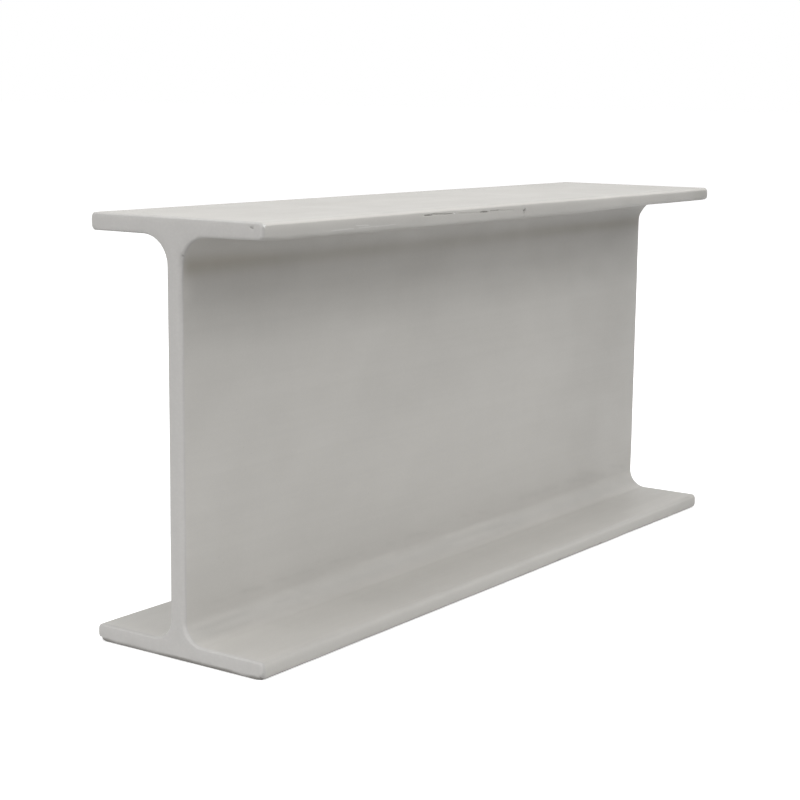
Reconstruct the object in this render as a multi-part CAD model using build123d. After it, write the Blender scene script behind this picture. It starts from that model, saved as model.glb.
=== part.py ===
from build123d import *
import os

# Fiberglass I-beam: one straight cut length of pultruded stock, standing on its lower flange.
# Millimetres. The length runs along X, the flange width along Y and the depth along Z.
# The origin is at the middle of the beam's underside.

# Section
depth = 152.4
flange_width = 76.2
flange_thickness = 6.35
web_thickness = 6.35
root_radius = 7.9
tip_radius = 1.6

# Cut length, and the deburred edge round both saw cuts
length = 323.85
end_bevel = 0.8


def section():
    """The I-section in the YZ plane, with root fillets and rounded flange tips."""
    web_height = depth - 2 * flange_thickness
    # A tip is at most a half round, so its radius stays under half of the flange's thickness
    tip_round = min(tip_radius, 0.49 * flange_thickness)
    with BuildSketch(Plane.YZ) as profile:
        with Locations((0, flange_thickness / 2), (0, depth - flange_thickness / 2)):
            Rectangle(flange_width, flange_thickness)
        with Locations((0, depth / 2)):
            Rectangle(web_thickness, web_height)
        corners = profile.vertices().group_by(Axis.X)
        flange_tips = corners[0] + corners[-1]
        web_roots = corners[1] + corners[-2]
        fillet(web_roots, root_radius)
        fillet(flange_tips, tip_round)
    return profile.sketch


def cut_length(profile):
    """The section run along X to the cut length, with a bevel round each sawn end."""
    with BuildPart() as beam:
        extrude(profile, amount=length / 2, both=True)
        ends = beam.faces().sort_by(Axis.X)
        chamfer(ends[0].edges() + ends[-1].edges(), end_bevel)
    return beam.part


os.makedirs("parts", exist_ok=True)
export_step(cut_length(section()), "parts/i_beam.step")
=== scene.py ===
"""Fiberglass I-beam standing on a pale studio floor. Lengths are in metres unless a name says otherwise."""

import math
import random

import bpy
from mathutils import Matrix, Vector, noise
from mathutils.geometry import delaunay_2d_cdt


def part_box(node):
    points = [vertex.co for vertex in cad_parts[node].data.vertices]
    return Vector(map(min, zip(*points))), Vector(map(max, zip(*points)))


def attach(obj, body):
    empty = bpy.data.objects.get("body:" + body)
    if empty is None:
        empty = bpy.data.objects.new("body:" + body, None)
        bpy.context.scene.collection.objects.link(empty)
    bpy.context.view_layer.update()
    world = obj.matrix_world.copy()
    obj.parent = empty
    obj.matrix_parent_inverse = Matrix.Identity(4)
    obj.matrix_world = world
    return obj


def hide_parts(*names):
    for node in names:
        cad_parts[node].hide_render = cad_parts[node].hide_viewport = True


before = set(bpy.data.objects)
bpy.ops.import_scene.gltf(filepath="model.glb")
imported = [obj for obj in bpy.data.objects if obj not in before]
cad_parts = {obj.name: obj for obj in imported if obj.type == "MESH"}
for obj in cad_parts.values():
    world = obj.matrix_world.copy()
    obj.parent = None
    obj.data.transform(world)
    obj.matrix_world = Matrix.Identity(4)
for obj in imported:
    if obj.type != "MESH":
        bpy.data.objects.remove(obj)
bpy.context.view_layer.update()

MM = 0.001
NODE = "i_beam"

# The section, from the frame's box and the stock's wall sizes
low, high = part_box(NODE)
LENGTH = high.x - low.x
WIDTH = high.y - low.y
DEPTH = high.z - low.z
FLANGE = 6.35 * MM
WEB = 6.35 * MM
ROOT_RADIUS = 7.9 * MM
UPPER_ROOT_RADIUS = 10.5 * MM
TIP_RADIUS = 1.6 * MM
HALF = LENGTH / 2

# The near side of the web has closely spaced points up to the first height, and few from there to the second
LINED_TOP = 26.0 * MM
SHADED_FOOT = 117.0 * MM

# The deburred edge round a sawn end: small on the flanges and larger on the web. The skin's rows end where
# the largest bevel can start
FLANGE_BEVEL = 0.50 * MM
WEB_BEVEL = 0.90 * MM
MOST_BEVEL = 1.35 * MM
BEVEL_START = 1.60 * MM

# No mark or wear goes deeper into the surface than this
DEEPEST = 1.40 * MM

random.seed(11)


def fuzz(x, y, z, size, seed=0.0):
    """Smooth noise from -1 to 1 whose features are about that size."""
    return noise.noise(Vector((x / size + seed, y / size - seed, z / size + 0.37 * seed)))


# Outline of the section: stretches run anticlockwise in the YZ plane, as seen with Y to the right

def line(start, end):
    """A straight stretch: its length, and a function from distance along it to point and outward normal."""
    start = Vector(start)
    run = Vector(end) - start
    span = run.length
    along = run / span
    outward = Vector((along.y, -along.x))
    return span, lambda d: (start + along * d, outward)


def arc(centre, radius, start_deg, turn_deg):
    """A round stretch. A positive turn is a convex flange tip, and a negative one a concave root."""
    centre = Vector(centre)
    turn = math.radians(turn_deg)
    span = abs(turn) * radius

    def at(d):
        angle = math.radians(start_deg) + turn * d / span
        radial = Vector((math.cos(angle), math.sin(angle)))
        return centre + radial * radius, radial * math.copysign(1.0, turn)

    return span, at


def outline_stretches():
    """(kind, number of points, stretch) all round the section, starting on the underside.

    The side that faces the viewer carries the marks, so its edges, web and lower root have more points.
    """
    b, r, t, w, big, d = WIDTH / 2, TIP_RADIUS, FLANGE, WEB / 2, ROOT_RADIUS, DEPTH
    upper = UPPER_ROOT_RADIUS
    return [
        ("face", 10, line((-b + r, 0), (b - r, 0))),
        ("tip", 6, arc((b - r, r), r, -90, 90)),
        ("side", 4, line((b, r), (b, t - r))),
        ("tip", 6, arc((b - r, t - r), r, 0, 90)),
        ("face", 9, line((b - r, t), (w + big, t))),
        ("root", 8, arc((w + big, t + big), big, -90, -90)),
        ("web", 9, line((w, t + big), (w, d - t - upper))),
        ("root", 8, arc((w + upper, d - t - upper), upper, 180, -90)),
        ("face", 9, line((w + upper, d - t), (b - r, d - t))),
        ("tip", 6, arc((b - r, d - t + r), r, -90, 90)),
        ("side", 4, line((b, d - t + r), (b, d - r))),
        ("tip", 6, arc((b - r, d - r), r, 0, 90)),
        ("face", 12, line((b - r, d), (-b + r, d))),
        ("tip", 13, arc((-b + r, d - r), r, 90, 90)),
        ("side", 18, line((-b, d - r), (-b, d - t + r))),
        ("tip", 6, arc((-b + r, d - t + r), r, 180, 90)),
        ("face", 9, line((-b + r, d - t), (-w - upper, d - t))),
        ("root", 20, arc((-w - upper, d - t - upper), upper, 90, -90)),
        ("shaded web", 14, line((-w, d - t - upper), (-w, SHADED_FOOT))),
        ("web", 8, line((-w, SHADED_FOOT), (-w, LINED_TOP))),
        ("lined web", 22, line((-w, LINED_TOP), (-w, t + big))),
        ("lined root", 24, arc((-w - big, t + big), big, 0, -90)),
        ("lined face", 20, line((-w - big, t), (-b + r, t))),
        ("tip", 8, arc((-b + r, t - r), r, 90, 90)),
        ("side", 6, line((-b, t - r), (-b, r))),
        ("tip", 8, arc((-b + r, r), r, 180, 90)),
    ]


def outline_points():
    """Each point of the section: kind, place (y, z), outward normal, distance past the top of the
    lined root, and share of its stretch."""
    points = []
    reached = 0.0
    root_top = 0.0
    for kind, count, (span, at) in outline_stretches():
        if kind == "lined root":
            root_top = reached
        for i in range(count):
            share = i / count
            if kind in ("face", "web"):
                share = (1 - math.cos(math.pi * share)) / 2
            place, normal = at(share * span)
            points.append((kind, place, normal, reached + share * span, share))
        reached += span
    return [(kind, place, normal, far - root_top, share) for kind, place, normal, far, share in points]


# Marks that the photograph shows, in millimetres. Each is a rounded stroke between two points (x, y, z):
# start, end, radius, depth, and tone from -1, dark, to 1, pale
NEAR_END = -HALF / MM
NEAR_SIDE = -WIDTH / MM / 2
# The dark tone of a chip, crack or notch is painted shade in its recess
EDGE_MARKS = [
    ((-70.5, NEAR_SIDE, 150.30), (-65.5, NEAR_SIDE, 150.20), 0.24, 0.45, -1.0),
    ((-66.0, NEAR_SIDE, 150.45), (-52.5, NEAR_SIDE, 150.10), 0.20, 0.36, -0.85),
    ((-66.0, NEAR_SIDE, 150.75), (-57.0, NEAR_SIDE, 150.60), 0.15, 0.15, -0.30),
    ((-51.6, NEAR_SIDE, 150.35), (-50.6, NEAR_SIDE, 150.00), 0.26, 0.15, 0.60),
    ((-48.5, NEAR_SIDE, 150.00), (-33.5, NEAR_SIDE, 149.80), 0.18, 0.20, -0.40),
    ((-33.0, NEAR_SIDE, 149.80), (-28.4, NEAR_SIDE, 149.75), 0.30, 0.52, -0.95),
    ((-26.6, NEAR_SIDE, 149.95), (-21.0, NEAR_SIDE, 149.90), 0.26, 0.34, -0.62),
    ((-21.0, NEAR_SIDE, 149.85), (-9.5, NEAR_SIDE, 149.65), 0.18, 0.18, -0.38),
    ((-1.10, NEAR_SIDE, 149.60), (-1.30, NEAR_SIDE, 149.00), 0.42, 0.75, -1.0),
    ((-1.45, NEAR_SIDE, 148.80), (-1.65, NEAR_SIDE, 147.90), 0.30, 0.24, -0.62),
    ((-1.25, NEAR_SIDE + 0.3, 146.95), (-1.30, NEAR_SIDE + 0.3, 146.65), 0.34, 0.15, -0.50),
    ((-126.0, NEAR_SIDE, 147.75), (-112.0, NEAR_SIDE, 147.85), 0.42, -0.03, 0.34),
    ((-110.0, NEAR_SIDE, 147.90), (-88.0, NEAR_SIDE, 148.05), 0.42, -0.03, 0.32),
    ((-112.5, NEAR_SIDE, 148.75), (-104.0, NEAR_SIDE, 148.60), 0.30, -0.02, 0.38),
    ((133.8, NEAR_SIDE, 0.9), (135.2, NEAR_SIDE, 0.8), 0.70, -0.30, 0.25),
    ((68.4, NEAR_SIDE, 0.7), (69.4, NEAR_SIDE, 0.7), 0.60, 0.35, -0.60),
    ((32.8, NEAR_SIDE, 0.7), (34.6, NEAR_SIDE, 0.7), 0.50, 0.30, -0.45),
    ((8.2, NEAR_SIDE, 0.6), (9.6, NEAR_SIDE, 0.6), 0.50, 0.30, -0.50),
]
END_MARKS = [
    ((NEAR_END + 1.15, -37.75, 152.05), (NEAR_END + 1.65, NEAR_SIDE, 151.20), 0.44, 0.26, 1.0),
    ((NEAR_END + 2.35, -37.95, 151.65), (NEAR_END + 1.80, NEAR_SIDE, 151.20), 0.28, 0.18, 0.9),
    ((NEAR_END + 1.70, NEAR_SIDE, 151.30), (NEAR_END + 1.80, NEAR_SIDE, 150.50), 0.20, 0.18, 0.9),
    ((NEAR_END + 0.9, NEAR_SIDE, 149.2), (NEAR_END + 1.2, NEAR_SIDE, 147.7), 0.80, 0.05, -0.25),
    ((NEAR_END, -33.05, 150.65), (NEAR_END, -34.45, 150.25), 0.20, 0.16, -0.75),
    ((NEAR_END + 0.1, -3.7, 139.8), (NEAR_END + 1.3, -4.8, 139.5), 0.52, 0.50, -1.0),
    ((NEAR_END, 22.8, 0.5), (NEAR_END, 21.9, 0.9), 0.75, 0.40, -0.75),
    ((NEAR_END, -9.9, 0.6), (NEAR_END, -10.9, 0.6), 0.50, 0.35, -0.75),
    ((NEAR_END + 0.4, -38.0, 0.3), (NEAR_END, -37.0, 0.1), 1.70, 0.70, -0.12),
    ((NEAR_END + 0.3, 38.0, 0.2), (NEAR_END, 36.4, 0.1), 1.60, 0.70, -0.35),
    ((NEAR_END, 36.0, 0.5), (NEAR_END, 31.0, 0.5), 0.60, 0.10, -0.60),
    ((NEAR_END, 13.5, 0.5), (NEAR_END, 10.5, 0.5), 0.50, 0.20, -0.60),
]


# A stroke reaches no further than this past its two points, in millimetres along the beam
STROKE_REACH = 1.2


def stroke(x, y, z, marks):
    """Depth and tone of a set of marks at a point, all in millimetres."""
    depth, tone = 0.0, 0.0
    for start, end, radius, deep, shade in marks:
        if not (min(start[0], end[0]) - STROKE_REACH < x < max(start[0], end[0]) + STROKE_REACH):
            continue
        start, end = Vector(start), Vector(end)
        run = end - start
        point = Vector((x, y, z))
        along = min(1.0, max(0.0, (point - start).dot(run) / run.length_squared))
        uneven = 1 + 0.40 * fuzz(x, y, z, 1.7, 3.0) + 0.25 * fuzz(x, y, z, 0.6, 8.0)
        away = (point - start - run * along).length / (radius * uneven)
        if away < 1:
            level = 1 - away ** 2
            depth = max(depth, deep * math.sqrt(level), key=abs)
            if abs(shade) * level > abs(tone):
                tone = shade * level
    return depth * MM, tone


def edge_mark(x, place):
    """Depth and tone of the marks along the edges of the flanges, with a slight wander in height."""
    if abs(place.x) < WIDTH / 2 - TIP_RADIUS:
        return 0.0, 0.0
    x_mm = x / MM
    wander = 0.10 * fuzz(x_mm, 0.0, 0.0, 3.1, 1.0) + 0.05 * fuzz(x_mm, 0.0, 0.0, 1.1, 3.0)
    depth, tone = stroke(x_mm, place.x / MM, place.y / MM - wander, EDGE_MARKS)
    end_depth, end_tone = stroke(x_mm, place.x / MM, place.y / MM, END_MARKS)
    return (depth, tone) if abs(depth) > end_depth else (end_depth, end_tone)


# Faint grooves, and the veil's folds between them, beside the near lower root, in millimetres. Each runs from
# one point to another (x, distance down the section from the root's top), with its half width and its level:
# above zero a darker groove, below zero a paler ridge. A groove fades in and out along its ends, and spreads
# over a few times its half width
# The darker tone of a groove is painted shade and the paler tone of a ridge painted light, beside their
# relief
DIE_LINES = [
    ((-149, -4.4), (-139, -2.6), 1.3, 0.50),
    ((-134, -4.3), (-117, -2.2), 1.3, 1.00),
    ((-116, -4.5), (-103, -2.5), 1.2, 0.70),
    ((-103, -3.6), (-88, -3.0), 1.2, 0.60),
    ((-83, -3.6), (-65, -3.0), 1.3, 0.75),
    ((-66, -3.2), (-56, -3.2), 1.3, 0.35),
    ((-45, -3.8), (-36, -2.6), 1.2, 0.60),
    ((-32, -4.4), (-12, -2.2), 1.3, 0.80),
    ((-10, -4.6), (5, -3.6), 0.9, 0.45),
    ((8, -5.2), (18, -3.4), 0.8, 0.65),
    ((20, -4.7), (33, -1.6), 0.8, 0.65),
    ((54, -4.6), (76, -3.3), 1.7, 0.85),
    ((74, -4.0), (93, -3.5), 1.8, 0.80),
    ((95, -5.2), (120, -2.0), 1.4, 0.85),
    ((106, -7.0), (137, -0.4), 1.9, 0.90),
    ((137, -5.2), (156, -2.3), 1.3, 0.80),
    ((-119, -6.5), (-114, -5.9), 0.6, 0.40),
    ((-161, 2.2), (-132, 2.6), 0.8, -0.55),
    ((-161, 4.1), (-126, 4.3), 0.7, 0.90),
    ((-152, 5.8), (-126, 6.0), 0.6, -0.40),
    ((-153, 7.3), (-128, 7.8), 0.7, 0.60),
    ((-117, 4.0), (-103, 4.5), 0.8, 0.80),
    ((-111, 1.2), (-101, 2.7), 0.8, -0.70),
    ((-101, 1.2), (-92, 2.9), 0.7, -0.50),
    ((-100, 3.4), (-93, 4.7), 0.7, 0.70),
    ((-102, 5.5), (-93, 6.9), 0.8, -0.55),
    ((-104, 7.4), (-97, 8.8), 0.7, 0.40),
    ((-85, 0.4), (-64, 1.0), 1.3, -0.45),
    ((-66, 1.2), (-36, 1.7), 1.5, -0.85),
    ((-4, 2.1), (43, 2.3), 0.9, -0.95),
    ((-2, 4.4), (44, 4.6), 0.7, 0.60),
    ((0, 6.0), (49, 6.3), 0.8, -0.60),
    ((5, 8.2), (37, 8.8), 0.8, 0.45),
    ((133, 7.2), (143, 9.8), 1.5, 0.35),
    ((-18, 19.0), (14, 21.0), 3.0, 0.25),
]
GROOVE_DEPTH = 0.05
GROOVE_FADE = 4.0
GROOVE_SPREAD = 2.2


def die_relief(kind, x, from_root):
    """Depth and tone of the die lines, by a point's distance down the section from the root's top. The tone
    is painted shade in the grooves and painted light on the ridges.
    """
    if not kind.startswith("lined"):
        return 0.0, 0.0
    x_mm, down = x / MM, from_root / MM
    wander = 0.30 * fuzz(x_mm, 0.0, 0.0, 13.0, 6.0) + 0.12 * fuzz(x_mm, 0.0, 0.0, 4.0, 2.0)
    level = 0.0
    for (first, first_down), (last, last_down), half_width, strength in DIE_LINES:
        share = (x_mm - first) / (last - first)
        fade = min(GROOVE_FADE, (last - first) / 3)
        ends = min(1.0, max(0.0, (x_mm - first) / fade), max(0.0, (last - x_mm) / fade))
        across = (down - first_down - (last_down - first_down) * share - wander) / half_width
        if ends > 0 and abs(across) < GROOVE_SPREAD:
            uneven = 1 + 0.45 * fuzz(x_mm, first_down * 9, 0.0, 7.0, 2.0)
            level += strength * ends * uneven * math.exp(-across ** 2 * 1.3)
    return GROOVE_DEPTH * level * MM, level


def down_the_side(place):
    """Distance in millimetres down the section from the top of the lower root, below zero on the web."""
    out, up = abs(place.x) - WEB / 2, place.y - FLANGE
    if up > ROOT_RADIUS:
        return (ROOT_RADIUS - up) / MM
    if out < ROOT_RADIUS:
        return math.atan2(ROOT_RADIUS - up, ROOT_RADIUS - out) * ROOT_RADIUS / MM
    return (out + (math.pi / 2 - 1) * ROOT_RADIUS + max(0.0, -up)) / MM


# Faint bands of painted light and painted shade that run the whole length, as (distance down the section,
# half width, how much paler)
PALE_UNDER_ROOT = (-128.5, 3.2, 0.070)
DULL_ROOT = (-123.6, 6.2, -0.092)
PALE_STRIP = (-112.8, 3.0, 0.050)
DULL_STRIP = (-99.0, 11.0, -0.066)
PALE_FOOT_OF_WEB = (-42.0, 26.0, 0.028)
# Painted shade in the lower roots
PAINTED_SHADE_IN_ROOT = (6.2, 3.2, -0.110)
PALE_BESIDE_ROOT = (13.0, 5.0, 0.045)
# Painted shade on the lower flanges' tips, over their highlight
PAINTED_SHADE_ON_TIPS = (38.8, 1.1, -0.135)
DULL_SIDE = (43.0, 2.0, -0.020)
PAINTED_BANDS = [PALE_UNDER_ROOT, DULL_ROOT, PALE_STRIP, DULL_STRIP, PALE_FOOT_OF_WEB, PAINTED_SHADE_IN_ROOT, PALE_BESIDE_ROOT,
         PAINTED_SHADE_ON_TIPS, DULL_SIDE]


def smooth_step(value, start, end):
    """Rises smoothly from 0 at the start to 1 at the end."""
    share = min(1.0, max(0.0, (value - start) / (end - start)))
    return share * share * (3 - 2 * share)


def painted_band_tone(x_mm, down):
    """The painted bands' share of the skin's tone, each a little uneven along the length."""
    level = 0.0
    for centre, half_width, strength in PAINTED_BANDS:
        uneven = 1 + 0.30 * fuzz(x_mm, centre, 0.0, 24.0, 7.0) + 0.15 * fuzz(x_mm, centre, 0.0, 6.0, 3.0)
        level += strength * uneven * math.exp(-((down - centre) / half_width) ** 2)
    return level


# How much painted light, or painted shade, the skin gets towards the cuts, and on the near side of the
# flanges
PALE_NEAR_FOOT = 0.040
PALE_NEAR_PATCH = 0.060
DULL_NEAR_WEB_FOOT = -0.022
DULL_FAR_TOP = -0.025
DULL_FAR_WEB = -0.074
DULL_FAR_ROOT = -0.050
DULL_FAR_FOOT = -0.055
DULL_FAR_SIDE = -0.060
DULL_UPPER_SIDE = -0.060
FAR_PAINTED_SHADE_UPPER = -0.15
FAR_PAINTED_SHADE_LOWER = -0.06


def painted_tone_by_near_cut(x_mm, y_mm, down):
    """Painted light on the lower flange for a few centimetres before the near cut, and painted shade on the
    web's foot.
    """
    on_flange = smooth_step(down, 8.0, 14.0) * smooth_step(-down, -37.0, -27.0)
    level = PALE_NEAR_FOOT * smooth_step(-x_mm, 121.0, 129.0) * on_flange
    level *= 1 + 0.3 * fuzz(x_mm, y_mm, 0.0, 7.0, 5.0)
    on_web_foot = math.exp(-((down + 9.0) / 9.0) ** 2)
    return level + DULL_NEAR_WEB_FOOT * smooth_step(-x_mm, 125.0, 145.0) * on_web_foot


def painted_shade_to_far_end(x_mm, z_mm, down):
    """Painted shade that darkens the skin towards the far end, the uppermost face less so."""
    if down < 0:
        by_upper_root = math.exp(-((down + 122.8) / 7.5) ** 2)
        dull = DULL_FAR_WEB if z_mm < (DEPTH - TIP_RADIUS) / MM else DULL_FAR_TOP
        level = dull * smooth_step(x_mm, 60.0, 135.0)
        return level + DULL_FAR_ROOT * smooth_step(x_mm, 0.0, 100.0) * by_upper_root
    far = smooth_step(x_mm, 70.0, 120.0)
    if down < 30:
        return DULL_FAR_FOOT * far * smooth_step(-down, -34.0, -26.0)
    return DULL_FAR_SIDE * far * smooth_step(down, 40.0, 41.5)


def painted_shade_on_flange_sides(x_mm, z_mm, place):
    """Painted shade on the near side of the flanges: on the upper one's lower part, and on both by the far
    end.
    """
    past_edge = smooth_step(-place.x, WIDTH / 2 - TIP_RADIUS, WIDTH / 2)
    level = 0.0
    far_shade = FAR_PAINTED_SHADE_LOWER
    if place.y > DEPTH / 2:
        far_shade = FAR_PAINTED_SHADE_UPPER
        below = smooth_step(-z_mm, -151.2, -149.2) * smooth_step(-x_mm, -150.0, -115.0)
        level = DULL_UPPER_SIDE * past_edge * below * (1 + 0.35 * fuzz(x_mm, 0.0, z_mm, 11.0, 8.0))
    uneven = 1 + 0.4 * fuzz(x_mm, 0.0, z_mm, 4.0, 6.0)
    return level + far_shade * past_edge * smooth_step(x_mm, 136.0, 156.0) * uneven


def film_tone(x, place):
    """How much painted light, or painted shade when below zero, a point of the skin gets."""
    x_mm, y_mm, z_mm = x / MM, place.x / MM, place.y / MM
    down = down_the_side(place)
    level = painted_band_tone(x_mm, down) + painted_tone_by_near_cut(x_mm, y_mm, down) + painted_shade_to_far_end(x_mm, z_mm, down)
    if place.x < 0:
        # Painted light on the web beside the near cut, just below the upper root
        level += PALE_NEAR_PATCH * math.exp(-((x_mm + HALF / MM) / 6.0) ** 2 - ((z_mm - 129.5) / 4.5) ** 2)
        if abs(place.y - DEPTH / 2) > DEPTH / 2 - FLANGE:
            level += painted_shade_on_flange_sides(x_mm, z_mm, place)
    return level + painted_highlight_on_upper_rim(x, place)


# How much paler the painted highlight makes the upper rim, how dark the painted contact shade on the lowest
# edges is, and how far from each edge it reaches, in millimetres
UPPER_RIM_HIGHLIGHT = 0.27
CONTACT_SHADE_DARKNESS = 0.90
FOOT_REACH = 1.6


def painted_highlight_on_upper_rim(x, place):
    """Painted highlight: a pale rim over the upper flange's rounded top edges, reaching unevenly round each
    tip.
    """
    down, out = DEPTH - place.y, abs(place.x) - (WIDTH / 2 - TIP_RADIUS)
    if out < 0 or down > TIP_RADIUS:
        return 0.0
    turn = math.degrees(math.atan2(out, TIP_RADIUS - down))
    limit = 74.0 + 7.0 * fuzz(x / MM, 0.0, 0.0, 17.0, 3.0) + 4.0 * fuzz(x / MM, 0.0, 0.0, 4.0, 5.0)
    return UPPER_RIM_HIGHLIGHT * smooth_step(turn, 5.0, 50.0) * smooth_step(-turn, -limit - 5.0, -limit + 5.0)


def stain_tone(x, place):
    """Painted shade: a warm, darker line just below the upper root, strongest by the near end."""
    if place.x > 0:
        return 0.0
    x_mm = x / MM
    down = down_the_side(place)
    near_end = smooth_step(-x_mm, 95.0, 138.0)
    reach = 2.5 + 1.1 * near_end
    strength = 0.17 + 0.16 * near_end + 0.05 * smooth_step(x_mm, 40.0, 110.0)
    strength -= 0.05 * smooth_step(x_mm, -70.0, -20.0) * smooth_step(-x_mm, -60.0, -20.0)
    uneven = 1 + 0.22 * fuzz(x_mm, 0.0, 0.0, 19.0, 9.0) + 0.12 * fuzz(x_mm, 0.0, down, 5.0, 1.0)
    strength *= smooth_step(x_mm, -HALF / MM - 1.0, -HALF / MM + 5.0)
    return strength * uneven * math.exp(-((down + 120.7 + 1.2 * near_end) / reach) ** 2)


def painted_contact_shade(x, place):
    """Painted contact shade along the lowest edges, where the beam touches the floor."""
    height = place.y / MM
    if height > FOOT_REACH:
        return 0.0
    from_side = (WIDTH / 2 - abs(place.x)) / MM
    from_end = (HALF - abs(x)) / MM
    if min(from_side, from_end) > FOOT_REACH:
        return 0.0
    x_mm, y_mm = x / MM, place.x / MM
    uneven = 1 + 0.5 * fuzz(x_mm, y_mm, 0.0, 5.0, 2.0) + 0.3 * fuzz(x_mm, y_mm, 0.0, 1.6, 4.0)
    corner = math.exp(-((from_side + from_end) / 2.5) ** 2)
    return CONTACT_SHADE_DARKNESS * (1 - 0.45 * corner) * uneven * smooth_step(-height, -0.85, -0.15)


def edge_wear(kind, share, x, place):
    """How far a rounded flange tip is rubbed back at a point."""
    if kind != "tip":
        return 0.0
    x_mm, y_mm, z_mm = x / MM, place.x / MM, place.y / MM
    long_wave = fuzz(x_mm, y_mm, z_mm, 31.0, 5.0)
    short_wave = fuzz(x_mm, y_mm, z_mm, 6.5, 9.0)
    worn = 0.06 + 0.17 * max(0.0, long_wave + 0.25) + 0.14 * max(0.0, short_wave)
    return worn * math.sin(math.pi * share) * MM


def rub_and_highlight_level(x, place):
    """How much paler a point is, part wear and part painted highlight: a ragged band beside the upward faces'
    tips.
    """
    from_edge = (WIDTH / 2 - abs(place.x)) / MM
    under = min(abs(DEPTH - place.y), abs(FLANGE - place.y)) / MM
    x_mm, y_mm = x / MM, place.x / MM
    reach = 5.5 + 2.2 * fuzz(x_mm, y_mm, 0.0, 21.0, 4.0) + 1.2 * fuzz(x_mm, y_mm, 0.0, 6.0, 8.0)
    level = min(1.0, max(0.0, (reach - from_edge) / 2.5)) * max(0.0, 1 - under)
    return level * (0.8 + 0.4 * fuzz(x_mm, y_mm, 0.0, 14.0, 1.0))


# Fine relief of the moulded skin: how deep its waves are and how long, how far the flanges' sides swell, and
# how far the skin falls away beside a cut and over what length
WAVE_DEPTH = 0.025 * MM
WAVE_LENGTH = 55.0
SWELL = 0.10 * MM
ROUNDED_DROP = 0.13 * MM
ROUNDED_REACH = 4.0 * MM

# The upper flange's underside on the near side, in millimetres: thinner at the cuts, thicker between them
THINNER_NEAR = 0.50
THINNER_FAR = 0.90
THINNER_ALONG = 0.15
THICKER_BETWEEN = 0.25

# How much fuller the upper near root gets towards the far end
FULLER_ROOT = 0.50 * MM


def waviness(x, place):
    """The slight unevenness of a moulded face, always into the material."""
    return -WAVE_DEPTH * (1 + fuzz(x / MM, place.x / MM, place.y / MM, WAVE_LENGTH, 2.0))


def crown(kind, place, normal):
    """How far a point of a flange's side lies back from the slight swell between its tips."""
    if kind not in ("side", "tip"):
        return 0.0
    middle = FLANGE / 2 if place.y < DEPTH / 2 else DEPTH - FLANGE / 2
    share = min(1.0, abs(place.y - middle) / (FLANGE / 2 - TIP_RADIUS))
    return SWELL * share ** 2 * normal.x ** 2


def thinning(x, place, normal):
    """How far the underside of the upper flange lies up from its nominal place on the near side.

    It is thinner at both cut ends, and a little thicker between them.
    """
    root_end = WEB / 2 + UPPER_ROOT_RADIUS
    if place.x > -root_end or not DEPTH / 2 < place.y < DEPTH - FLANGE / 2:
        return 0.0
    x_mm = x / MM
    share = (-place.x - root_end) / (WIDTH / 2 - root_end)
    at_tip = THINNER_NEAR * smooth_step(-x_mm, 149.0, 160.0) + THINNER_FAR * smooth_step(x_mm, 40.0, 105.0)
    at_tip += THINNER_ALONG * smooth_step(-x_mm, 85.0, 115.0) - THICKER_BETWEEN
    at_tip += 0.08 * fuzz(x_mm, 0.0, 0.0, 17.0, 4.0)
    return at_tip * MM * share * max(0.0, -normal.y)


def full_root(x, place, normal):
    """How far the upper root stands proud on the near side, where it grows fuller towards the far end."""
    if place.x > -WEB / 2 or not DEPTH / 2 < place.y < DEPTH - FLANGE:
        return 0.0
    return FULLER_ROOT * smooth_step(x / MM, 100.0, 160.0) * (2 * normal.x * normal.y) ** 2


def rounded_over(x):
    """How far the skin falls away in the last few millimetres beside a cut."""
    share = max(0.0, 1 - (HALF - abs(x)) / ROUNDED_REACH)
    return ROUNDED_DROP * share ** 2


def shape_relief(kind, share, x, place, normal):
    """How far the skin, without its marks, stands proud of the plain section, or back from it below zero."""
    relief = waviness(x, place) - edge_wear(kind, share, x, place) - crown(kind, place, normal)
    return relief - thinning(x, place, normal) - rounded_over(x) + full_root(x, place, normal)


# The round blade that sawed the ends, in millimetres: its centre beside the section, its radius, and the
# spacing and depth of the scores that it left
BLADE_CENTRE = (150.0, -60.0)
BLADE_RADIUS = 180.0
SCORE_SPACING = 0.55
SCORE_BASE = 0.015
SCORE_DEPTH = 0.030


def saw_marks(y, z):
    """Depth of the blade's curved scores on a cut face, always into the material."""
    y_mm, z_mm = y / MM, z / MM
    reach = math.hypot(y_mm - BLADE_CENTRE[0], z_mm - BLADE_CENTRE[1]) - BLADE_RADIUS
    score = 0.5 + 0.5 * math.sin(reach / SCORE_SPACING + 1.7 * fuzz(y_mm, z_mm, 0.0, 14.0, 4.0))
    return (SCORE_BASE + SCORE_DEPTH * score * (0.6 + 0.4 * fuzz(y_mm, z_mm, 0.0, 6.0, 1.0))) * MM


# Steps between the rows of the skin, in millimetres: on plain skin, in the last few millimetres beside a cut,
# by the marks at the near cut, and at long and short marks on the edges. Flat marks need no closer rows
PLAIN_STEP = 1.7
BESIDE_CUT, CUT_STEP = 6.0, 0.8
NEAR_MARKS, NEAR_STEP = 2.8, 0.22
LONG_MARK_STEP = 0.55
SHORT_MARK, SHORT_MARK_STEP = 2.5, 0.18
FLAT_MARK = 0.1


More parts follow.
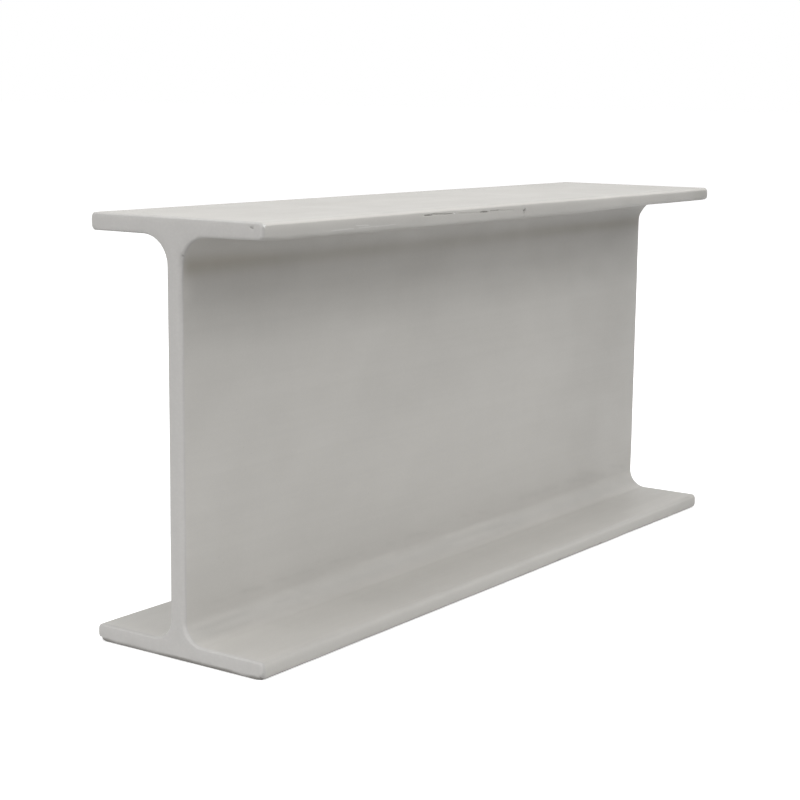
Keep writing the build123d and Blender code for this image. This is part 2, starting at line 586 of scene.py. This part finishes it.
def stations():
    """Places along the length for the rows of the skin, closer together where the edges are marked."""
    edge = HALF - BEVEL_START
    places = []
    x = -edge
    while x < edge - 0.5 * MM:
        places.append(x)
        step = PLAIN_STEP
        if HALF - abs(x) < BESIDE_CUT * MM:
            step = CUT_STEP
        if x + HALF < NEAR_MARKS * MM:
            step = NEAR_STEP
        for start, end, radius, deep, _ in EDGE_MARKS:
            if abs(deep) < FLAT_MARK:
                continue
            short = end[0] - start[0] < SHORT_MARK
            margin = 1.0 if short else radius + 0.6
            if min(start[0], end[0]) - margin < x / MM < max(start[0], end[0]) + margin:
                step = min(step, SHORT_MARK_STEP if short else LONG_MARK_STEP)
        x += step * MM
    places.append(edge)
    return places


# Rows of a bevelled end, as (share of the bevel back from the end, share in from the skin)
BEVEL_ROWS = [(1.10, 0.0), (0.93, 0.07), (0.50, 0.50), (0.07, 0.93), (0.0, 1.12)]


def bevel_size(side, place):
    """The bevel was rubbed on by hand, so its size wanders, most of all round the upper near root."""
    y, z = place.x / MM, place.y / MM
    on_near_web = smooth_step(y, -13.0, -6.0) * smooth_step(-y, 0.0, 3.0)
    on_near_web *= smooth_step(z, 5.0, 12.0) * smooth_step(-z, -141.0, -138.5)
    size = FLANGE_BEVEL + (WEB_BEVEL - FLANGE_BEVEL) * on_near_web
    by_upper_root = side < 0 and -13 < y < -2 and 136 < z < 147
    jagged = 0.55 if by_upper_root else 0.10
    size *= 1 + 0.22 * fuzz(y, z, side, 9.0, 3.0) + jagged * fuzz(y, z, side, 1.6, 6.0)
    return min(size, MOST_BEVEL)


def fibres_and_edge_highlight(side, place, normal):
    """Pale broken fibres along a cut edge, with painted highlight making the edges that face up palest."""
    y, z = place.x / MM, place.y / MM
    level = 0.42 * max(0.0, 0.25 + fuzz(y, z, side, 1.1, 2.0)) + 0.18 * max(0.0, fuzz(y, z, side, 5.0, 9.0))
    return level * (0.20 + 0.80 * max(0.0, normal.y))


def foot_of_end(place):
    """The tone on a sawn face, which is darker in its lower part."""
    return -0.055 * smooth_step(-place.y, -60 * MM, -4 * MM)


def inside_section(y, z, margin):
    """Whether a point of the YZ plane lies inside the section, at least a margin from its outline."""
    in_web = abs(y) < WEB / 2 - margin and margin < z < DEPTH - margin
    from_face = min(z, DEPTH - z)
    in_flange = margin < from_face < FLANGE - margin and abs(y) < WIDTH / 2 - margin
    reach = ROOT_RADIUS + margin
    to_side = abs(y) - (WEB / 2 + ROOT_RADIUS)
    to_root = from_face - (FLANGE + ROOT_RADIUS)
    in_root = to_side < 0 and to_root < 0 and math.hypot(to_side, to_root) > reach and from_face > margin
    return in_web or in_flange or in_root


# Points inside a sawn face: the grid's spacing, how far its points stray, how many more lie at each mark, and
# how far the grid and the mark's points stay inside the deepest wear of the edge
CAP_SPACING = 1.0 * MM
CAP_STRAY = 0.25
MARK_POINTS = 60
GRID_MARGIN = 0.25 * MM
MARK_MARGIN = 0.1 * MM

# Settings of the triangulation: keep only what lies inside the loop, and merge points closer than this
KEEP_INSIDE = 1
MERGE_DISTANCE = 1e-7


def grid_points():
    """A slightly uneven grid of points inside the section."""
    points = []
    for up in range(1, int(DEPTH / CAP_SPACING)):
        for across in range(1, int(WIDTH / CAP_SPACING)):
            y = -WIDTH / 2 + across * CAP_SPACING + CAP_STRAY * CAP_SPACING * fuzz(up, across, 0.0, 0.7)
            z = up * CAP_SPACING + CAP_STRAY * CAP_SPACING * fuzz(up, across, 5.0, 0.7)
            if inside_section(y, z, DEEPEST + GRID_MARGIN):
                points.append(Vector((y, z)))
    return points


def mark_points():
    """More points inside the section at the marks on the near cut."""
    points = []
    for start, end, radius, *_ in END_MARKS:
        for _ in range(MARK_POINTS):
            along = random.uniform(-0.3, 1.3)
            angle, reach = random.uniform(0, 2 * math.pi), 1.2 * radius * math.sqrt(random.random())
            y = (start[1] + (end[1] - start[1]) * along + reach * math.cos(angle)) * MM
            z = (start[2] + (end[2] - start[2]) * along + reach * math.sin(angle)) * MM
            if inside_section(y, z, DEEPEST + MARK_MARGIN):
                points.append(Vector((y, z)))
    return points


# What a vertex carries for the materials: wear and painted highlight beside the tips, dark and pale marks,
# die lines, the tone with its painted light and shade, and the painted shade under the upper root
LAYERS = ("wear", "dark", "pale", "streak", "film", "stain")


def build_beam():
    """The beam's surface: skin rows, bevelled cut edges and sawn faces, with its marks as attributes."""
    outline = outline_points()
    count = len(outline)
    vertices, faces, materials = [], [], []
    layers = {name: [] for name in LAYERS}

    def add(x, y, z, **levels):
        vertices.append((x, y, z))
        for name, values in layers.items():
            values.append(levels.get(name, 0.0))
        return len(vertices) - 1

    def skin_row(x):
        """One row of the moulded skin round the section."""
        row = []
        for kind, place, normal, from_root, share in outline:
            mark, tone = edge_mark(x, place)
            drawn, groove_shade_and_light = die_relief(kind, x, from_root)
            relief = shape_relief(kind, share, x, place, normal) - mark - drawn
            spot = place + normal * max(relief, -DEEPEST)
            # Dark marks, and the painted contact shade along the lowest edges
            dark = max(0.0, -tone, painted_contact_shade(x, place))
            row.append(add(x, spot.x, spot.y, wear=rub_and_highlight_level(x, place), dark=dark, pale=max(0.0, tone),
                           streak=groove_shade_and_light, film=film_tone(x, place), stain=stain_tone(x, place)))
        return row

    def cut_row(side, back, inset):
        """One row of a bevelled end, at shares of the bevel's size back from the end and in from the skin."""
        row = []
        for kind, place, normal, _, share in outline:
            size = bevel_size(side, place)
            x = side * (HALF - size * back)
            relief = shape_relief(kind, share, x, place, normal) - edge_mark(x, place)[0] - size * inset
            spot = place + normal * max(relief, -DEEPEST)
            cut_mark, tone = stroke(x / MM, spot.x / MM, spot.y / MM, END_MARKS) if side < 0 else (0.0, 0.0)
            x -= side * (cut_mark + saw_marks(spot.x, spot.y) * (1 - min(1.0, back)))
            # Dark marks, and the painted contact shade along the lowest edges
            dark = max(0.0, -tone, painted_contact_shade(x, place))
            # Broken fibres, with painted highlight on the cut edges that face up
            fibres_and_highlight = fibres_and_edge_highlight(side, place, normal) * (1 - abs(2 * min(1.0, back) - 1) ** 3)
            row.append(add(x, spot.x, spot.y, dark=dark, pale=max(0.0, tone, fibres_and_highlight), film=foot_of_end(place)))
        return row

    def bridge(first, second, material):
        for i in range(count):
            j = (i + 1) % count
            faces.append((first[i], first[j], second[j], second[i]))
            materials.append(material)

    skin = [skin_row(x) for x in stations()]
    near = [cut_row(-1, back, inset) for back, inset in BEVEL_ROWS]
    far = [cut_row(1, back, inset) for back, inset in BEVEL_ROWS]
    rows = near[::-1] + skin + far
    for k in range(len(rows) - 1):
        sawn = k < len(near) or k >= len(near) + len(skin) - 1
        bridge(rows[k], rows[k + 1], 1 if sawn else 0)

    def cap(boundary, side):
        """The sawn face inside a boundary row, triangulated over a grid of its own points."""
        edge = [Vector((vertices[i][1], vertices[i][2])) for i in boundary]
        inner = grid_points()
        if side < 0:
            inner += mark_points()
        loop = [(i, (i + 1) % count) for i in range(count)]
        cut = delaunay_2d_cdt(edge + inner, loop, [], KEEP_INSIDE, MERGE_DISTANCE)
        points, triangles, origins = cut[0], cut[2], cut[3]
        indices = {}
        for k, source in enumerate(origins):
            if source and source[0] < count:
                indices[k] = boundary[source[0]]
            else:
                y, z = points[k]
                mark, tone = stroke(NEAR_END, y / MM, z / MM, END_MARKS) if side < 0 else (0.0, 0.0)
                x = side * (HALF - saw_marks(y, z) - mark)
                film = foot_of_end(points[k])
                indices[k] = add(x, y, z, dark=max(0.0, -tone), pale=max(0.0, tone), film=film)
        for triangle in triangles:
            corners = [indices[k] for k in triangle]
            if side < 0:
                corners = corners[::-1]
            faces.append(tuple(corners))
            materials.append(1)

    cap(near[-1], -1)
    cap(far[-1], 1)

    mesh = bpy.data.meshes.new("fiberglass_beam")
    mesh.from_pydata(vertices, [], faces)
    mesh.polygons.foreach_set("material_index", materials)
    mesh.polygons.foreach_set("use_smooth", [True] * len(faces))
    for name, values in layers.items():
        mesh.attributes.new(name, "FLOAT", "POINT").data.foreach_set("value", values)
    mesh.update()
    return mesh


# Materials

class Graph:
    """A material's node tree, with short calls for the nodes used here."""

    def __init__(self, name):
        self.material = bpy.data.materials.new(name)
        self.material.use_nodes = True
        self.tree = self.material.node_tree
        self.tree.nodes.clear()
        self.place = self.node("ShaderNodeTexCoord").outputs["Object"]

    def node(self, kind, **settings):
        made = self.tree.nodes.new(kind)
        for key, value in settings.items():
            setattr(made, key, value)
        return made

    def join(self, source, socket):
        """Links an output to a socket, or sets the socket to a plain value."""
        if isinstance(source, bpy.types.NodeSocket):
            self.tree.links.new(source, socket)
        else:
            socket.default_value = source

    def stretched(self, scale):
        """Object coordinates multiplied axis by axis, in features a metre."""
        mapping = self.node("ShaderNodeMapping")
        self.join(self.place, mapping.inputs["Vector"])
        mapping.inputs["Scale"].default_value = scale
        return mapping.outputs["Vector"]

    def noise(self, scale, detail=2.0, roughness=0.5, distortion=0.0):
        made = self.node("ShaderNodeTexNoise")
        self.join(self.stretched(scale), made.inputs["Vector"])
        made.inputs["Scale"].default_value = 1.0
        made.inputs["Detail"].default_value = detail
        made.inputs["Roughness"].default_value = roughness
        made.inputs["Distortion"].default_value = distortion
        return made.outputs["Fac"]

    def cells(self, scale):
        """Distance from the middle of the nearest of many scattered cells."""
        made = self.node("ShaderNodeTexVoronoi")
        self.join(self.stretched(scale), made.inputs["Vector"])
        made.inputs["Scale"].default_value = 1.0
        return made.outputs["Distance"]

    def math(self, operation, a, b=0.0, c=0.0):
        made = self.node("ShaderNodeMath", operation=operation)
        for k, value in enumerate((a, b, c)):
            self.join(value, made.inputs[k])
        return made.outputs[0]

    def ramp(self, value, low_in, high_in, low_out=0.0, high_out=1.0):
        made = self.node("ShaderNodeMapRange", clamp=True, interpolation_type="SMOOTHSTEP")
        made.inputs["From Min"].default_value = low_in
        made.inputs["From Max"].default_value = high_in
        made.inputs["To Min"].default_value = low_out
        made.inputs["To Max"].default_value = high_out
        self.join(value, made.inputs["Value"])
        return made.outputs["Result"]

    def mix(self, amount, a, b):
        made = self.node("ShaderNodeMix", data_type="RGBA")
        self.join(amount, made.inputs["Factor"])
        self.join(a, made.inputs["A"])
        self.join(b, made.inputs["B"])
        return made.outputs["Result"]

    def attribute(self, name):
        return self.node("ShaderNodeAttribute", attribute_name=name).outputs["Fac"]

    def scaled(self, colour, factor):
        """The colour multiplied by a grey factor."""
        made = self.node("ShaderNodeVectorMath", operation="SCALE")
        self.join(colour, made.inputs[0])
        self.join(factor, made.inputs["Scale"])
        return made.outputs["Vector"]

    def bump(self, height, distance, under=None):
        made = self.node("ShaderNodeBump")
        made.inputs["Strength"].default_value = 1.0
        made.inputs["Distance"].default_value = distance
        self.join(height, made.inputs["Height"])
        if under is not None:
            self.join(under, made.inputs["Normal"])
        return made.outputs["Normal"]

    def shade(self, colour, roughness, normal, specular=0.5):
        shader = self.node("ShaderNodeBsdfPrincipled")
        self.join(colour, shader.inputs["Base Color"])
        self.join(roughness, shader.inputs["Roughness"])
        self.join(normal, shader.inputs["Normal"])
        shader.inputs["Specular IOR Level"].default_value = specular
        output = self.node("ShaderNodeOutputMaterial")
        self.join(shader.outputs["BSDF"], output.inputs["Surface"])
        return self.material


# Colours, and the height of the finest relief, which is too small for the mesh
SKIN_GREY = (0.485, 0.472, 0.446, 1.0)
SAWN_GREY = (0.490, 0.479, 0.464, 1.0)
# Dark colour of the marks, painted shade in the chips' recesses, and of the painted contact shade on the
# lowest edges
DARK_MARK_AND_CONTACT_SHADE = (0.150, 0.142, 0.128, 1.0)
# Pale colour of fresh fractures and broken fibres, and of the painted highlight on cut edges that face up
FRESH_GLASS_AND_HIGHLIGHT = (0.800, 0.795, 0.780, 1.0)
# Pale colour of rubbed resin, also serving as painted highlight beside the tips
RUBBED_AND_HIGHLIGHT = (0.640, 0.628, 0.600, 1.0)
# Warm colour of the painted shade under the upper root
UNDER_ROOT_SHADE = (0.190, 0.150, 0.080, 1.0)
DRAW_LINE_RELIEF = 0.040 * MM
VEIL_RELIEF = 0.010 * MM
RIPPLE_RELIEF = 0.060 * MM
GRAIN_RELIEF = 0.015 * MM


def skin_material():
    """Moulded resin skin: veil print, draw streaks along the length, faint smudges, worn tips with painted
    highlight, and the painted light and shade that the vertices carry.
    """
    g = Graph("moulded_fiberglass")
    cloud = g.ramp(g.noise((11, 16, 16), detail=3), 0.30, 0.70, 0.975, 1.025)
    smudge = g.ramp(g.noise((28, 45, 45), detail=5, roughness=0.6), 0.35, 0.75, 1.012, 0.980)
    streak = g.ramp(g.noise((3.2, 420, 420), detail=2), 0.25, 0.75, 0.993, 1.007)
    broad_streak = g.ramp(g.noise((1.6, 90, 90), detail=2), 0.30, 0.70, 0.994, 1.006)
    fibre_a = g.math("ABSOLUTE", g.math("SUBTRACT", g.noise((520, 900, 900), 1, distortion=1.2), 0.5))
    fibre_b = g.math("ABSOLUTE", g.math("SUBTRACT", g.noise((760, 420, 420), 1, distortion=1.6), 0.5))
    veil = g.math("MINIMUM", g.ramp(fibre_a, 0.0, 0.035, 0.0, 1.0), g.ramp(fibre_b, 0.0, 0.030, 0.0, 1.0))
    veil_tone = g.math("MULTIPLY_ADD", veil, -0.022, 1.014)
    specks = g.ramp(g.cells((340, 340, 340)), 0.06, 0.12, 0.93, 1.0)
    few = g.ramp(g.noise((60, 60, 60), 1), 0.58, 0.66)
    speck_tone = g.math("ADD", g.math("MULTIPLY", g.math("SUBTRACT", specks, 1.0), few), 1.0)
    tone = g.math("MULTIPLY", cloud, smudge)
    # Painted shade in the die lines' grooves and painted light on their ridges
    groove_shade_and_light = g.math("MULTIPLY_ADD", g.attribute("streak"), -0.055, 1.0)
    # The vertex tone: painted light and painted shade
    film = g.math("ADD", g.attribute("film"), 1.0)
    for part in (streak, broad_streak, veil_tone, speck_tone, groove_shade_and_light, film):
        tone = g.math("MULTIPLY", tone, part)
    colour = g.scaled(SKIN_GREY[:3], tone)
    # Wear and painted highlight beside the tips
    colour = g.mix(g.math("MULTIPLY", g.attribute("wear"), 0.10), colour, RUBBED_AND_HIGHLIGHT)
    # Painted shade under the upper root
    colour = g.mix(g.attribute("stain"), colour, UNDER_ROOT_SHADE)
    # Painted shade in the marks' recesses, and the painted contact shade along the lowest edges
    colour = g.mix(g.ramp(g.attribute("dark"), 0.08, 1.0, 0.0, 0.85), colour, DARK_MARK_AND_CONTACT_SHADE)
    colour = g.mix(g.ramp(g.attribute("pale"), 0.10, 0.8, 0.0, 0.90), colour, FRESH_GLASS_AND_HIGHLIGHT)
    patchy = g.ramp(g.noise((40, 60, 60), 4), 0.3, 0.7, 0.44, 0.54)
    roughness = g.math("ADD", patchy, g.math("MULTIPLY", veil, 0.05))
    normal = g.bump(g.noise((3.2, 420, 420), 2), DRAW_LINE_RELIEF)
    normal = g.bump(veil, VEIL_RELIEF, under=normal)
    normal = g.bump(g.noise((130, 160, 160), 3), RIPPLE_RELIEF, under=normal)
    return g.shade(colour, roughness, normal)


def sawn_material():
    """Sawn laminate: matt, with roving ends, a fine grain and faint clouds."""
    g = Graph("sawn_fiberglass")
    rovings = g.ramp(g.cells((10, 620, 780)), 0.15, 0.60, 1.010, 0.990)
    grain = g.ramp(g.noise((900, 1500, 1500), 2), 0.3, 0.7, 0.988, 1.012)
    cloud = g.ramp(g.noise((30, 60, 60), 3), 0.3, 0.7, 0.985, 1.012)
    tone = g.math("MULTIPLY", g.math("MULTIPLY", rovings, grain), cloud)
    # The sawn face is darker towards the bottom
    tone = g.math("MULTIPLY", tone, g.math("ADD", g.attribute("film"), 1.0))
    colour = g.scaled(SAWN_GREY[:3], tone)
    # Painted shade in the marks' recesses, and the painted contact shade along the bottom
    colour = g.mix(g.ramp(g.attribute("dark"), 0.15, 0.9, 0.0, 0.80), colour, DARK_MARK_AND_CONTACT_SHADE)
    # Pale fibres, with painted highlight on the cut edges that face up
    colour = g.mix(g.ramp(g.attribute("pale"), 0.15, 0.8, 0.0, 0.90), colour, FRESH_GLASS_AND_HIGHLIGHT)
    roughness = g.ramp(g.noise((300, 400, 400), 2), 0.3, 0.7, 0.66, 0.80)
    normal = g.bump(g.noise((700, 1300, 1300), 3), GRAIN_RELIEF)
    return g.shade(colour, roughness, normal, specular=0.4)


# Floor, light and camera

# The floor's half side, how pale it is and how much it glows to the camera near the beam and far from it, and
# the distances between which each changes. The beam's shadow can darken that share of its white
FLOOR_REACH = 30.0
FLOOR_ALBEDO, FLOOR_FAR_ALBEDO = 0.60, 0.08
FLOOR_NEAR, FLOOR_FAR = 0.12, 0.60
FLOOR_GLOW, FLOOR_FAR_GLOW = 0.47, 0.75
GLOW_NEAR, GLOW_FAR = 0.25, 0.70
SHADOW_SHARE = 0.90

# Strength of the even light from all round
WORLD_LIGHT = 0.35


def floor_material():
    """Matt floor, pale near the beam and darker away from it, so that light bounces up only close by.

    Seen directly or in a reflection it is lifted to white, and keeps the beam's shadow.
    """
    g = Graph("studio_floor")
    away = g.node("ShaderNodeVectorMath", operation="LENGTH")
    g.join(g.place, away.inputs[0])
    albedo = g.ramp(away.outputs["Value"], FLOOR_NEAR, FLOOR_FAR, FLOOR_ALBEDO, FLOOR_FAR_ALBEDO)
    path = g.node("ShaderNodeLightPath")
    seen = g.math("MAXIMUM", path.outputs["Is Camera Ray"], path.outputs["Is Glossy Ray"])
    seen = g.math("MAXIMUM", seen, path.outputs["Is Transmission Ray"])
    plain = g.node("ShaderNodeBsdfDiffuse")
    g.join(albedo, plain.inputs["Color"])
    catcher = g.node("ShaderNodeBsdfDiffuse")
    catcher.inputs["Color"].default_value = (SHADOW_SHARE,) * 3 + (1.0,)
    glow = g.node("ShaderNodeEmission")
    brightness = g.ramp(away.outputs["Value"], GLOW_NEAR, GLOW_FAR, FLOOR_GLOW, FLOOR_FAR_GLOW)
    g.join(brightness, glow.inputs["Strength"])
    lifted = g.node("ShaderNodeAddShader")
    g.join(catcher.outputs[0], lifted.inputs[0])
    g.join(glow.outputs[0], lifted.inputs[1])
    pick = g.node("ShaderNodeMixShader")
    g.join(seen, pick.inputs[0])
    g.join(plain.outputs[0], pick.inputs[1])
    g.join(lifted.outputs[0], pick.inputs[2])
    output = g.node("ShaderNodeOutputMaterial")
    g.join(pick.outputs[0], output.inputs["Surface"])
    return g.material


def build_floor():
    """A flat floor that reaches past the edges of the picture."""
    size = FLOOR_REACH
    corners = [(-size, -size, 0), (size, -size, 0), (size, size, 0), (-size, size, 0)]
    mesh = bpy.data.meshes.new("floor")
    mesh.from_pydata(corners, [], [(0, 1, 2, 3)])
    mesh.materials.append(floor_material())
    floor = bpy.data.objects.new("floor", mesh)
    bpy.context.scene.collection.objects.link(floor)


def build_world():
    """White to the camera and in reflections, and a dimmer even light on everything else."""
    world = bpy.data.worlds.new("studio")
    bpy.context.scene.world = world
    world.use_nodes = True
    tree = world.node_tree
    tree.nodes.clear()
    path = tree.nodes.new("ShaderNodeLightPath")
    seen = tree.nodes.new("ShaderNodeMath")
    seen.operation = "ADD"
    seen.use_clamp = True
    tree.links.new(path.outputs["Is Camera Ray"], seen.inputs[0])
    reflected = tree.nodes.new("ShaderNodeMath")
    reflected.operation = "MAXIMUM"
    tree.links.new(path.outputs["Is Glossy Ray"], reflected.inputs[0])
    tree.links.new(path.outputs["Is Transmission Ray"], reflected.inputs[1])
    tree.links.new(reflected.outputs[0], seen.inputs[1])
    strength = tree.nodes.new("ShaderNodeMapRange")
    strength.inputs["To Min"].default_value = WORLD_LIGHT
    strength.inputs["To Max"].default_value = 1.0
    tree.links.new(seen.outputs[0], strength.inputs["Value"])
    sky = tree.nodes.new("ShaderNodeBackground")
    sky.inputs["Color"].default_value = (1.0, 1.0, 1.0, 1.0)
    tree.links.new(strength.outputs[0], sky.inputs["Strength"])
    output = tree.nodes.new("ShaderNodeOutputWorld")
    tree.links.new(sky.outputs[0], output.inputs["Surface"])


# Softboxes: name, azimuth and elevation in degrees that it shines from, distance, side lengths, and watts
AIM = Vector((0.0, 0.0, 0.07))
SOFTBOXES = [
    ("overhead", 0.0, 89.9, 1.4, (1.4, 1.2), 8.2),
    ("back", 90.0, 65.0, 1.5, (1.2, 0.9), 0.6),
    ("back low", 90.0, 12.0, 1.7, (1.2, 0.5), 3.6),
    ("front", -90.0, 42.0, 1.7, (1.2, 0.6), 10.8),
    ("front low", -90.0, 8.0, 1.7, (1.2, 0.4), 2.2),
    ("left high", 180.0, 55.0, 1.6, (0.9, 0.7), 3.5),
    ("left low", 177.0, 12.0, 1.6, (1.3, 0.8), 10.6),
    ("right low", 5.0, 6.0, 1.7, (0.5, 0.5), 3.2),
]


def build_lights():
    """One soft area lamp for each softbox, turned to the middle of the beam."""
    for name, azimuth, elevation, distance, (wide, tall), watts in SOFTBOXES:
        around, up = math.radians(azimuth), math.radians(elevation)
        away = Vector((math.cos(up) * math.cos(around), math.cos(up) * math.sin(around), math.sin(up)))
        lamp = bpy.data.lights.new(name, "AREA")
        lamp.shape = "RECTANGLE"
        lamp.size, lamp.size_y = wide, tall
        lamp.energy = watts
        box = bpy.data.objects.new(name, lamp)
        bpy.context.scene.collection.objects.link(box)
        box.location = AIM + away * distance
        box.rotation_euler = (-away).to_track_quat("-Z", "Y").to_euler()


# The photograph's viewing angle: heading from +X towards +Y, tilt below the horizon, and roll
VIEW_HEADING = 35.23
VIEW_TILT = 9.69
VIEW_ROLL = -0.643
CAMERA_PLACE = (-0.59656, -0.39957, 0.19188)
SENSOR_WIDTH = 36.0
LENS = 79.6


def build_camera():
    """The camera at the photograph's viewing angle."""
    heading, tilt, roll = (math.radians(a) for a in (VIEW_HEADING, VIEW_TILT, VIEW_ROLL))
    ahead = Vector((math.cos(tilt) * math.cos(heading), math.cos(tilt) * math.sin(heading), -math.sin(tilt)))
    level_right = Vector((math.sin(heading), -math.cos(heading), 0.0))
    level_down = ahead.cross(level_right)
    right = level_right * math.cos(roll) + level_down * math.sin(roll)
    down = level_down * math.cos(roll) - level_right * math.sin(roll)
    turn = Matrix((right, -down, -ahead)).transposed()
    data = bpy.data.cameras.new("camera")
    data.sensor_width = SENSOR_WIDTH
    data.lens = LENS
    camera = bpy.data.objects.new("camera", data)
    camera.matrix_world = Matrix.Translation(CAMERA_PLACE) @ turn.to_4x4()
    bpy.context.scene.collection.objects.link(camera)
    bpy.context.scene.camera = camera


mesh = build_beam()
mesh.materials.append(skin_material())
mesh.materials.append(sawn_material())
beam = bpy.data.objects.new("fiberglass_beam", mesh)
bpy.context.scene.collection.objects.link(beam)
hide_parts(NODE)
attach(beam, "root")

build_floor()
build_world()
build_lights()
build_camera()
bpy.context.scene.view_settings.view_transform = "Standard"
